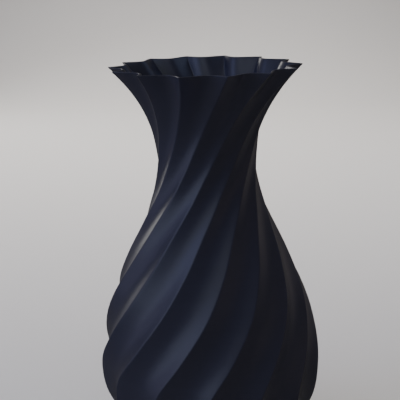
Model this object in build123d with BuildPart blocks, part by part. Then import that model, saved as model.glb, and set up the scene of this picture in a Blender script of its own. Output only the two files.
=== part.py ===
from build123d import *
import math
import os

# A tall fluted vase, printed in one piece. Its sharp-edged flutes lean to one side
# and twist round the body from the foot to the flared rim.
# Millimetres and degrees. The origin is the centre of the foot, and +Z points up.

# Heights
height = 230.0  # foot to rim
belly_height = 70.0  # foot to the widest place
flare_height = 45.0  # neck to rim

# Radii, measured to the crests of the flutes
foot_radius = 30.4
belly_radius = 61.3
neck_radius = 26.6
rim_radius = 50.3

# Flutes
flute_count = 14
flute_depth = 0.15  # crest to valley at the rim, as a share of the crest radius
valley_place = 0.53  # from one crest to the next, anticlockwise
rim_valley_place = 0.62  # the same at the rim, where the flutes lean over
first_crest = 7.5  # angle of a crest at the foot, from +X
twist = 120.0  # turn of the rim against the foot, anticlockwise

# Printed walls
wall = 1.2  # measured level, as the nozzle lays it
floor_thickness = 2.4

section_spacing = 6.0  # height between neighbouring sections of the loft

# The silhouette, the twist and the flutes, in three stretches. Each row is the share of
# the stretch's height, of its change in radius, of the twist and of the flute depth.
foot_to_belly = [
    (0.00, 0.00, 0.000, 0.60),
    (0.36, 0.46, 0.004, 0.58),
    (0.71, 0.92, 0.008, 0.55),
]
belly_to_neck = [
    (0.00, 0.000, 0.033, 0.48),
    (0.17, 0.085, 0.133, 0.44),
    (0.35, 0.257, 0.246, 0.42),
    (0.52, 0.510, 0.342, 0.40),
    (0.70, 0.790, 0.454, 0.39),
    (0.85, 0.965, 0.592, 0.38),
]
neck_to_rim = [
    (0.00, 0.000, 0.750, 0.37),
    (0.38, 0.148, 0.884, 0.42),
    (0.71, 0.500, 0.964, 0.62),
    (1.00, 1.000, 1.000, 1.00),
]

# One flute between two crests: the share of the pitch and the share of the depth.
# It is even and round in the body. Towards the rim it leans over, until it has a long
# gentle face and a short steep one.
body_flute = [(0.0, 0.0), (0.27, 0.70), (valley_place, 1.0), (0.78, 0.71), (1.0, 0.0)]
rim_flute = [(0.0, 0.0), (0.32, 0.63), (rim_valley_place, 1.0), (0.82, 0.72), (1.0, 0.0)]

neck_height = height - flare_height
pitch = 360.0 / flute_count


def stretch(rows, low, high):
    """Height, crest radius, turn and flute depth of each row between two places."""
    levels = []
    for up, out, turned, deep in rows:
        level_height = low[0] + (high[0] - low[0]) * up
        level_radius = low[1] + (high[1] - low[1]) * out
        levels.append((level_height, level_radius, twist * turned, flute_depth * deep))
    return levels


foot = (0.0, foot_radius)
belly = (belly_height, belly_radius)
neck = (neck_height, neck_radius)
rim = (height, rim_radius)
levels = stretch(foot_to_belly, foot, belly)
levels += stretch(belly_to_neck, belly, neck)
levels += stretch(neck_to_rim, neck, rim)


def slopes(places, values):
    """Slope at each place of the smooth curve through the values."""
    spans = [b - a for a, b in zip(places, places[1:])]
    rises = [(b - a) / span for a, b, span in zip(values, values[1:], spans)]
    inner = []
    for index in range(len(spans) - 1):
        weighted = rises[index] * spans[index + 1] + rises[index + 1] * spans[index]
        inner.append(weighted / (spans[index] + spans[index + 1]))
    first = 2 * rises[0] - inner[0]
    last = 2 * rises[-1] - inner[-1]
    return [first] + inner + [last]


level_heights = [level[0] for level in levels]
level_radii = [level[1] for level in levels]
level_turns = [level[2] for level in levels]
level_depths = [level[3] for level in levels]
radius_slopes = slopes(level_heights, level_radii)
turn_slopes = slopes(level_heights, level_turns)
depth_slopes = slopes(level_heights, level_depths)


def smooth(values, value_slopes, z):
    """Value at height z on the cubic curve through the levels."""
    index = sum(1 for level_z in level_heights[1:-1] if z >= level_z)
    span = level_heights[index + 1] - level_heights[index]
    t = (z - level_heights[index]) / span
    from_low = values[index] * (1 + 2 * t) * (1 - t) ** 2
    from_high = values[index + 1] * t**2 * (3 - 2 * t)
    low_pull = span * value_slopes[index] * t * (1 - t) ** 2
    high_pull = span * value_slopes[index + 1] * t**2 * (t - 1)
    return from_low + from_high + low_pull + high_pull


def flute_shape(z):
    """The points of one flute at height z, between the body's shape and the rim's."""
    lean = max(0.0, (z - neck_height) / flare_height)
    points = []
    for body_point, rim_point in zip(body_flute, rim_flute):
        along = body_point[0] + (rim_point[0] - body_point[0]) * lean
        deep = body_point[1] + (rim_point[1] - body_point[1]) * lean
        points.append((along, deep))
    return points


def outer_outline(z):
    """The outer curves at height z, one from each crest to the next."""
    crest_radius = smooth(level_radii, radius_slopes, z)
    turn = first_crest + smooth(level_turns, turn_slopes, z)
    depth = smooth(level_depths, depth_slopes, z)
    shape = flute_shape(z)
    curves = []
    for flute in range(flute_count):
        points = []
        for along, deep in shape:
            angle = math.radians(turn + (flute + along) * pitch)
            radius = crest_radius * (1 - depth * deep)
            points.append((radius * math.cos(angle), radius * math.sin(angle)))
        curves.append(Spline(*points, mode=Mode.PRIVATE))
    return curves


def inward(curve, place):
    """Direction into the wall, level, at a place along an outer curve."""
    return (curve % place).rotate(Axis.Z, 90)


inner_places = (0.25, 0.5, 0.75)  # along each curve, where the inner wall is set out


def inner_outline(curves):
    """The same curves moved in by the wall, meeting in sharp crests."""
    corners = []
    for before, after in zip(curves[-1:] + curves[:-1], curves):
        first, second = inward(before, 1), inward(after, 0)
        reach = wall / (1 + first.dot(second))
        corners.append((after @ 0) + (first + second) * reach)
    moved = []
    for curve, start, end in zip(curves, corners, corners[1:] + corners[:1]):
        faces = [(curve @ place) + inward(curve, place) * wall for place in inner_places]
        moved.append(Spline(start, *faces, end, mode=Mode.PRIVATE))
    return moved


def section_heights(low, high):
    """Evenly spaced heights from low to high."""
    steps = math.ceil((high - low) / section_spacing)
    return [low + (high - low) * step / steps for step in range(steps + 1)]


with BuildPart() as vase:
    for z in section_heights(0, height):
        with BuildSketch(Plane.XY.offset(z)):
            with BuildLine():
                add(outer_outline(z))
            make_face()
    loft()
    for z in section_heights(floor_thickness, height):
        with BuildSketch(Plane.XY.offset(z)):
            with BuildLine():
                add(inner_outline(outer_outline(z)))
            make_face()
    loft(mode=Mode.SUBTRACT)

vase.part.label = "vase"

os.makedirs("parts", exist_ok=True)
export_step(vase.part, "parts/vase.step")
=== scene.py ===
import math

import bpy
import numpy as np
from mathutils import Matrix, Vector


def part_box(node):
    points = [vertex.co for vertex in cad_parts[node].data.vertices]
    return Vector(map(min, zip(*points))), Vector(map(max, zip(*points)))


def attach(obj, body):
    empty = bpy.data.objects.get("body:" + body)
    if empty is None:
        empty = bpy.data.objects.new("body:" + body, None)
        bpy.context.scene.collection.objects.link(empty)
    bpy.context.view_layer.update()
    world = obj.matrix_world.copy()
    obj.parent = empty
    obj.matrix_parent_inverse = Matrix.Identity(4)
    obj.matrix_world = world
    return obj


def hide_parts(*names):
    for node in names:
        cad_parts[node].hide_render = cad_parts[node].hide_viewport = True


# A tall fluted vase, printed in dark navy plastic. Metres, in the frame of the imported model.

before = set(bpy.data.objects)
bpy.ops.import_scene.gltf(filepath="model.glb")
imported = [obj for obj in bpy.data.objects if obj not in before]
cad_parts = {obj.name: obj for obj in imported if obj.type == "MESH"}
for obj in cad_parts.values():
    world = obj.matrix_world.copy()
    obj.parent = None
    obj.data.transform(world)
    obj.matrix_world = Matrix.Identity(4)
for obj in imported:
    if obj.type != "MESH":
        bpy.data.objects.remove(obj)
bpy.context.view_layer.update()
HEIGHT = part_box("vase")[1].z
MM = 0.001

# The vase's own dimensions, as in its CAD source
BELLY_HEIGHT = 70 * MM
FLARE_HEIGHT = 45 * MM
FOOT_RADIUS = 30.4 * MM
BELLY_RADIUS = 61.3 * MM
NECK_RADIUS = 26.6 * MM
RIM_RADIUS = 50.3 * MM
FLUTES = 14
FLUTE_DEPTH = 0.15
VALLEY_PLACE = 0.53
RIM_VALLEY_PLACE = 0.62
FIRST_CREST = math.radians(7.5)
TWIST = math.radians(120)
WALL = 1.2 * MM
FLOOR = 2.4 * MM

# Share of the stretch's height, of its change in radius, of the twist and of the flute depth
FOOT_TO_BELLY = [(0.0, 0.0, 0.0, 0.6), (0.36, 0.46, 0.004, 0.58), (0.71, 0.92, 0.008, 0.55)]
BELLY_TO_NECK = [
    (0.0, 0.0, 0.033, 0.48),
    (0.17, 0.085, 0.133, 0.44),
    (0.35, 0.257, 0.246, 0.42),
    (0.52, 0.51, 0.342, 0.4),
    (0.70, 0.79, 0.454, 0.39),
    (0.85, 0.965, 0.592, 0.38),
]
NECK_TO_RIM = [
    (0.0, 0.0, 0.75, 0.37),
    (0.38, 0.148, 0.884, 0.42),
    (0.71, 0.5, 0.964, 0.62),
    (1.0, 1.0, 1.0, 1.0),
]

# One flute between two crests, as share of the pitch and share of the depth
BODY_FLUTE = np.array([(0.0, 0.0), (0.27, 0.7), (VALLEY_PLACE, 1.0), (0.78, 0.71), (1.0, 0.0)])
RIM_FLUTE = np.array([(0.0, 0.0), (0.32, 0.63), (RIM_VALLEY_PLACE, 1.0), (0.82, 0.72), (1.0, 0.0)])

# What the print adds to that shape
CREST_ROUNDING = 0.7 * MM  # along the flank, from the crest's corner to where the round starts
RIM_ROUNDING = 0.35 * MM
FOOT_ROUNDING = 0.4 * MM

# Mesh
CURVE_SAMPLES = 121
FLANK_COLUMNS = 11
ROUND_COLUMNS = 3
OUTER_ROWS = 230
INNER_ROWS = 170
EDGE_ROWS = 4
DISC_RINGS = (0.25, 0.5, 0.75, 0.9)  # shares of the radius, on the underside and the floor

# Plastic
LAYER = 0.24 * MM
NOZZLE_LINE = 0.45 * MM
LAYER_RELIEF = 0.03 * MM
LAYER_STRENGTH = 0.3
UNEVEN_RELIEF = 0.35  # of a layer against the next, as share of the ridges
GRAIN_RELIEF = 0.12
LEVEL_FACE = 0.95  # upward share of the normal, from where a face counts as level
GRAIN_SCALE = 2600.0
CLOUD_SCALE = 38.0
BAND_SCALE = (9, 9, 700)  # the print's uneven bands are level, and a few layers high
NAVY = (0.032, 0.0335, 0.061, 1)
DARK_NAVY = (0.028, 0.0295, 0.053, 1)
BAND_ROUGHNESS = (0.31, 0.37)
CLOUD_ROUGHNESS = (0.0, 0.06)

# Floor: it lies level, then bends up into a wall behind the vase
FLOOR_HALF_WIDTH = 3.0
FLOOR_FRONT = -2.5
BEND_START = 1.2
BEND_RADIUS = 0.6
BEND_STEPS = 16
WALL_TOP = 2.2
FLOOR_COLOUR = (0.75, 0.735, 0.715, 1)
FLOOR_ROUGHNESS = 0.9

# Name, azimuth, elevation, distance, size, watts, colour. Azimuth 0 is in front, 90 on the right.
LAMPS = [
    ("window_low", 300, 11, 1.5, 1.1, 4.6, (0.67, 0.77, 1.0)),
    ("window_side", 270, 6, 1.5, 1.1, 2.1, (0.66, 0.65, 1.0)),
    ("window_high", 284, 42, 1.2, 0.62, 2.6, (0.42, 0.48, 0.92)),
    ("left_gleam", 216, 5, 1.4, 0.45, 1.5, (1.0, 0.98, 0.94)),
    ("back_gleam", 207, 22, 1.4, 0.4, 2.4, (1.0, 0.98, 0.94)),
    ("front_left", 328, 42, 1.2, 0.62, 0.7, (0.89, 1.0, 0.86)),
    ("ceiling", 0, 70, 1.2, 0.62, 1.5, (0.76, 0.82, 1.0)),
    ("right_high", 120, 45, 1.2, 0.62, 0.93, (0.43, 0.57, 1.0)),
    ("right_wall", 125, 6, 1.5, 1.1, 0.65, (1.0, 0.86, 0.85)),
    ("front_right", 60, 6, 1.5, 1.1, 0.5, (1.0, 0.76, 0.63)),
]
LAMP_AIM = 0.56  # share of the vase's height that these lamps point at
FLOOR_LAMP_PLACE = (0.0, 0.95, 1.15)
FLOOR_LAMP_SIZE = (1.3, 1.4)
FLOOR_LAMP_WATTS = 8.5
FLOOR_LAMP_COLOUR = (1.0, 0.96, 0.92)
FLOOR_LAMP_SPREAD = math.radians(100)
ROOM_GLOW = (1.0, 0.93, 0.8, 1)
ROOM_STRENGTH = 0.1

# Camera, at the photographed angle
LENS = 68.92
SENSOR = 36
NEAREST = 0.01
CAMERA_BACK = 0.39435
CAMERA_UP = 0.04335  # above the rim
CAMERA_DOWN = math.radians(16.252)
CAMERA_LEFT = math.radians(0.576)
CAMERA_ROLL = math.radians(1.209)


def stretch(rows, low, high):
    """Height, crest radius, turn and flute depth of each row between two places."""
    levels = []
    for up, out, turned, deep in rows:
        height = low[0] + (high[0] - low[0]) * up
        radius = low[1] + (high[1] - low[1]) * out
        levels.append((height, radius, TWIST * turned, FLUTE_DEPTH * deep))
    return levels


def all_levels():
    foot = (0.0, FOOT_RADIUS)
    belly = (BELLY_HEIGHT, BELLY_RADIUS)
    neck = (HEIGHT - FLARE_HEIGHT, NECK_RADIUS)
    rim = (HEIGHT, RIM_RADIUS)
    levels = stretch(FOOT_TO_BELLY, foot, belly)
    levels += stretch(BELLY_TO_NECK, belly, neck)
    levels += stretch(NECK_TO_RIM, neck, rim)
    return np.array(levels)


def cubic_through(places, values):
    """A function for the smooth curve through the values."""
    spans = np.diff(places)
    rises = np.diff(values) / spans
    middle = (rises[:-1] * spans[1:] + rises[1:] * spans[:-1]) / (spans[:-1] + spans[1:])
    slopes = np.concatenate([[2 * rises[0] - middle[0]], middle, [2 * rises[-1] - middle[-1]]])

    def value(z):
        index = int(np.clip(np.searchsorted(places, z, side="right") - 1, 0, len(spans) - 1))
        t = (z - places[index]) / spans[index]
        ends = values[index] * (1 + 2 * t) * (1 - t) ** 2 + values[index + 1] * t**2 * (3 - 2 * t)
        pulls = slopes[index] * t * (1 - t) ** 2 + slopes[index + 1] * t**2 * (t - 1)
        return ends + spans[index] * pulls

    return value


def natural_spline(points, samples):
    """Points along the natural cubic spline through the given ones."""
    points = np.array(points)
    knots = np.concatenate([[0.0], np.cumsum(np.linalg.norm(np.diff(points, axis=0), axis=1))])
    spans = np.diff(knots)
    count = len(points)
    system = np.eye(count)
    right = np.zeros((count, 2))
    for i in range(1, count - 1):
        system[i, i - 1 : i + 2] = [spans[i - 1], 2 * (spans[i - 1] + spans[i]), spans[i]]
        right[i] = 6 * (
            (points[i + 1] - points[i]) / spans[i] - (points[i] - points[i - 1]) / spans[i - 1]
        )
    bends = np.linalg.solve(system, right)
    places = np.linspace(0, knots[-1], samples)
    i = np.clip(np.searchsorted(knots, places, side="right") - 1, 0, count - 2)
    a, b, span = (knots[i + 1] - places)[:, None], (places - knots[i])[:, None], spans[i][:, None]
    bent = (bends[i] * a**3 + bends[i + 1] * b**3) / (6 * span)
    low = (points[i] / span - bends[i] * span / 6) * a
    high = (points[i + 1] / span - bends[i + 1] * span / 6) * b
    return bent + low + high


PITCH = 2 * math.pi / FLUTES
NECK_HEIGHT = HEIGHT - FLARE_HEIGHT
LEVELS = all_levels()
crest_radius_at = cubic_through(LEVELS[:, 0], LEVELS[:, 1])
turn_at = cubic_through(LEVELS[:, 0], LEVELS[:, 2])
depth_at = cubic_through(LEVELS[:, 0], LEVELS[:, 3])


def turned(points, angle):
    c, s = math.cos(angle), math.sin(angle)
    return points @ np.array([[c, s], [-s, c]])


def flute_curve(z):
    """Points along one flute at height z, their inward normals and their distances along it."""
    lean = max(0.0, (z - NECK_HEIGHT) / FLARE_HEIGHT)
    shape = BODY_FLUTE + (RIM_FLUTE - BODY_FLUTE) * lean
    angles = shape[:, 0] * PITCH
    radii = crest_radius_at(z) * (1 - depth_at(z) * shape[:, 1])
    points = np.stack([radii * np.cos(angles), radii * np.sin(angles)], axis=1)
    curve = natural_spline(points, CURVE_SAMPLES)
    along = np.gradient(curve, axis=0, edge_order=2)
    along /= np.linalg.norm(along, axis=1)[:, None]
    normals = np.stack([-along[:, 1], along[:, 0]], axis=1)
    steps = np.linalg.norm(np.diff(curve, axis=0), axis=1)
    return curve, normals, np.concatenate([[0.0], np.cumsum(steps)])


def outline(z, inset=0.0):
    """The closed outline at height z, moved in by inset, as flutes * columns points."""
    curve, normals, lengths = flute_curve(z)
    before = turned(normals[-1:], -PITCH)[0]
    cosine = float(before @ normals[0])
    corner = curve[0] + (before + normals[0]) * inset / (1 + cosine)
    skipped = inset * math.sqrt((1 - cosine) / (1 + cosine))
    margin = skipped + CREST_ROUNDING
    places = np.linspace(margin, lengths[-1] - margin, FLANK_COLUMNS)
    moved = curve + normals * inset
    flank = np.stack([np.interp(places, lengths, moved[:, axis]) for axis in (0, 1)], axis=1)
    start, end = turned(flank[-1:], -PITCH)[0], flank[0]
    t = np.linspace(0, 1, ROUND_COLUMNS + 2)[1:-1, None]
    crest = start * (1 - t) ** 2 + 2 * corner * t * (1 - t) + end * t**2
    flute = np.concatenate([crest, flank])
    ring = np.concatenate([turned(flute, k * PITCH) for k in range(FLUTES)])
    return turned(ring, FIRST_CREST + turn_at(z))


def ring_at(z, inset=0.0):
    ring = outline(z, inset)
    return np.hstack([ring, np.full((len(ring), 1), z)])


def wall_rings():
    """Rings of the whole skin: underside, outer wall, lip, inner wall and floor."""
    rings = []
    for share in DISC_RINGS:
        rings.append(ring_at(0.0) * [share, share, 1])
    quarter = np.linspace(0, math.pi / 2, EDGE_ROWS)
    for angle in quarter:
        inset = FOOT_ROUNDING * (1 - math.sin(angle))
        rings.append(ring_at(FOOT_ROUNDING * (1 - math.cos(angle)), inset))
    for z in np.linspace(FOOT_ROUNDING, HEIGHT - RIM_ROUNDING, OUTER_ROWS)[1:]:
        rings.append(ring_at(z))
    for angle in quarter[1:]:
        inset = RIM_ROUNDING * (1 - math.cos(angle))
        rings.append(ring_at(HEIGHT - RIM_ROUNDING * (1 - math.sin(angle)), inset))
    for angle in quarter[::-1]:
        inset = WALL - RIM_ROUNDING * (1 - math.cos(angle))
        rings.append(ring_at(HEIGHT - RIM_ROUNDING * (1 - math.sin(angle)), inset))
    for z in np.linspace(HEIGHT - RIM_ROUNDING, FLOOR, INNER_ROWS)[1:]:
        rings.append(ring_at(z, WALL))
    for share in DISC_RINGS[::-1]:
        rings.append(ring_at(FLOOR, WALL) * [share, share, 1])
    return rings


def make_vase():
    rings = wall_rings()
    columns = len(rings[0])
    points = np.concatenate([*rings, [[0, 0, 0.0], [0, 0, FLOOR]]])
    faces = []
    for row in range(len(rings) - 1):
        for column in range(columns):
            after = (column + 1) % columns
            low, high = row * columns, (row + 1) * columns
            faces.append((low + column, low + after, high + after, high + column))
    under, floor = len(points) - 2, len(points) - 1
    last = (len(rings) - 1) * columns
    for column in range(columns):
        after = (column + 1) % columns
        faces.append((under, after, column))
        faces.append((floor, last + column, last + after))
    mesh = bpy.data.meshes.new("vase_body")
    mesh.from_pydata(points.tolist(), [], faces)
    mesh.update()
    mesh.shade_smooth()
    piece = bpy.data.objects.new("vase_body", mesh)
    bpy.context.scene.collection.objects.link(piece)
    return piece


def add_node(tree, kind, inputs=(), **settings):
    """A new node. Each input is a socket to link or a value to set; settings are its own fields."""
    made = tree.nodes.new(kind)
    for name, value in settings.items():
        setattr(made, name, value)
    for socket, value in inputs:
        if isinstance(value, bpy.types.NodeSocket):
            tree.links.new(value, made.inputs[socket])
        else:
            made.inputs[socket].default_value = value
    return made


# The colour sockets of a Mix node, which share their names with its other sockets
MIX_A, MIX_B, MIX_RESULT = 6, 7, 2


def math_node(tree, operation, *values):
    return add_node(tree, "ShaderNodeMath", list(enumerate(values)), operation=operation).outputs[0]


def spread(tree, value, low, high):
    """A 0 to 1 value taken to the range low to high."""
    inputs = [("Value", value), ("To Min", low), ("To Max", high)]
    return add_node(tree, "ShaderNodeMapRange", inputs).outputs["Result"]


def ridges(tree, distance, spacing):
    """Rounded ridges, 0 to 1, with one ridge in each spacing of distance."""
    turns = math_node(tree, "MULTIPLY", distance, math.pi / spacing)
    return math_node(tree, "ABSOLUTE", math_node(tree, "SINE", turns))


def vase_material():
    """Satin navy plastic laid in fine level layers, with flat raster lines on level faces."""
    material = bpy.data.materials.new("navy_plastic")
    material.use_nodes = True
    tree = material.node_tree
    shader = tree.nodes["Principled BSDF"]
    place = add_node(tree, "ShaderNodeTexCoord").outputs["Object"]
    axes = add_node(tree, "ShaderNodeSeparateXYZ", [("Vector", place)])
    x, y, z = axes.outputs

    # One random value for each layer, and a slow drift of the print
    layer = math_node(tree, "FLOOR", math_node(tree, "DIVIDE", z, LAYER))
    uneven = add_node(
        tree, "ShaderNodeTexWhiteNoise", [("W", layer)], noise_dimensions="1D"
    ).outputs["Value"]
    stretched = add_node(
        tree, "ShaderNodeVectorMath", [(0, place), (1, BAND_SCALE)], operation="MULTIPLY"
    ).outputs["Vector"]
    bands = add_node(
        tree, "ShaderNodeTexNoise", [("Vector", stretched), ("Scale", 1.0), ("Detail", 3.0)]
    ).outputs["Fac"]
    cloud = add_node(
        tree, "ShaderNodeTexNoise", [("Vector", place), ("Scale", CLOUD_SCALE), ("Detail", 2.0)]
    ).outputs["Fac"]
    grain = add_node(
        tree, "ShaderNodeTexNoise", [("Vector", place), ("Scale", GRAIN_SCALE), ("Detail", 2.0)]
    ).outputs["Fac"]

    # Layer ridges on the walls, raster lines on the level faces of the foot and the floor
    walls = ridges(tree, z, LAYER)
    diagonal = math_node(tree, "MULTIPLY", math_node(tree, "ADD", x, y), math.sqrt(0.5))
    raster = ridges(tree, diagonal, NOZZLE_LINE)
    facing = add_node(tree, "ShaderNodeTexCoord").outputs["Normal"]
    upright = add_node(tree, "ShaderNodeSeparateXYZ", [("Vector", facing)]).outputs["Z"]
    level = math_node(tree, "GREATER_THAN", math_node(tree, "ABSOLUTE", upright), LEVEL_FACE)
    lines = add_node(tree, "ShaderNodeMix", [("Factor", level), ("A", walls), ("B", raster)])
    uneven_relief = math_node(tree, "MULTIPLY", uneven, UNEVEN_RELIEF)
    grain_relief = math_node(tree, "MULTIPLY", grain, GRAIN_RELIEF)
    relief = math_node(tree, "ADD", lines.outputs[0], uneven_relief)
    relief = math_node(tree, "ADD", relief, grain_relief)
    bump = add_node(
        tree,
        "ShaderNodeBump",
        [("Height", relief), ("Strength", LAYER_STRENGTH), ("Distance", LAYER_RELIEF)],
    )

    # Colour and gloss drift a little from band to band
    colour = add_node(
        tree,
        "ShaderNodeMix",
        [("Factor", bands), (MIX_A, DARK_NAVY), (MIX_B, NAVY)],
        data_type="RGBA",
    )
    roughness = math_node(
        tree, "ADD", spread(tree, bands, *BAND_ROUGHNESS), spread(tree, cloud, *CLOUD_ROUGHNESS)
    )
    tree.links.new(colour.outputs[MIX_RESULT], shader.inputs["Base Color"])
    tree.links.new(roughness, shader.inputs["Roughness"])
    tree.links.new(bump.outputs["Normal"], shader.inputs["Normal"])
    shader.inputs["IOR"].default_value = 1.46
    return material


def make_floor():
    """A pale floor that sweeps up into a wall behind the vase."""
    profile = [(FLOOR_FRONT, 0.0), (BEND_START, 0.0)]
    for step in range(1, BEND_STEPS + 1):
        angle = math.pi / 2 * step / BEND_STEPS
        back = BEND_START + BEND_RADIUS * math.sin(angle)
        profile.append((back, BEND_RADIUS * (1 - math.cos(angle))))
    profile.append((BEND_START + BEND_RADIUS, WALL_TOP))
    points = [(x, y, z) for y, z in profile for x in (-FLOOR_HALF_WIDTH, FLOOR_HALF_WIDTH)]
    faces = [(i, i + 1, i + 3, i + 2) for i in range(0, len(points) - 2, 2)]
    mesh = bpy.data.meshes.new("floor")
    mesh.from_pydata(points, [], faces)
    mesh.shade_smooth()
    floor = bpy.data.objects.new("floor", mesh)
    bpy.context.scene.collection.objects.link(floor)
    material = bpy.data.materials.new("floor_card")
    material.use_nodes = True
    shader = material.node_tree.nodes["Principled BSDF"]
    shader.inputs["Base Color"].default_value = FLOOR_COLOUR
    shader.inputs["Roughness"].default_value = FLOOR_ROUGHNESS
    mesh.materials.append(material)
    floor.visible_glossy = False  # so the bright floor leaves no rim of light on the vase
    return floor


def add_lamp(name, place, target, size, watts, colour):
    light = bpy.data.lights.new(name, "AREA")
    light.shape = "RECTANGLE"
    light.size, light.size_y = size
    light.energy = watts
    light.color = colour
    holder = bpy.data.objects.new(name, light)
    holder.location = place
    aim = Vector(target) - Vector(place)
    holder.rotation_euler = aim.to_track_quat("-Z", "Y").to_euler()
    bpy.context.scene.collection.objects.link(holder)
    return holder


def light_vase():
    """Soft light, mostly a window on the left, in a dim pale room."""
    middle = Vector((0, 0, HEIGHT * LAMP_AIM))
    for name, azimuth, elevation, distance, size, watts, colour in LAMPS:
        turn, rise = math.radians(azimuth), math.radians(elevation)
        towards = Vector(
            (math.sin(turn) * math.cos(rise), -math.cos(turn) * math.cos(rise), math.sin(rise))
        )
        add_lamp(name, middle + towards * distance, middle, (size, size), watts, colour)
    world = bpy.data.worlds.new("room")
    bpy.context.scene.world = world
    world.use_nodes = True
    glow = world.node_tree.nodes["Background"]
    glow.inputs["Color"].default_value = ROOM_GLOW
    glow.inputs["Strength"].default_value = ROOM_STRENGTH


def light_floor(floor):
    """A lamp over the floor behind the vase, which lights the floor alone."""
    below = (*FLOOR_LAMP_PLACE[:2], 0.0)
    holder = add_lamp(
        "backdrop", FLOOR_LAMP_PLACE, below, FLOOR_LAMP_SIZE, FLOOR_LAMP_WATTS, FLOOR_LAMP_COLOUR
    )
    holder.data.spread = FLOOR_LAMP_SPREAD
    lit = bpy.data.collections.new("backdrop_lit")
    lit.objects.link(floor)
    holder.light_linking.receiver_collection = lit


def make_camera():
    camera = bpy.data.cameras.new("camera")
    camera.lens = LENS
    camera.sensor_width = SENSOR
    camera.clip_start = NEAREST
    holder = bpy.data.objects.new("camera", camera)
    forward = Vector(
        (
            -math.sin(CAMERA_LEFT) * math.cos(CAMERA_DOWN),
            math.cos(CAMERA_LEFT) * math.cos(CAMERA_DOWN),
            -math.sin(CAMERA_DOWN),
        )
    )
    right = Vector((math.cos(CAMERA_LEFT), math.sin(CAMERA_LEFT), 0))
    up = right.cross(forward)
    rolled_right = right * math.cos(CAMERA_ROLL) - up * math.sin(CAMERA_ROLL)
    rolled_up = right * math.sin(CAMERA_ROLL) + up * math.cos(CAMERA_ROLL)
    turn = Matrix((rolled_right, rolled_up, -forward)).transposed()
    holder.matrix_world = Matrix.Translation((0, -CAMERA_BACK, HEIGHT + CAMERA_UP)) @ turn.to_4x4()
    bpy.context.scene.collection.objects.link(holder)
    bpy.context.scene.camera = holder


make_camera()
light_vase()
light_floor(make_floor())

vase = make_vase()
vase.data.materials.append(vase_material())
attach(vase, "root")
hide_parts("vase")
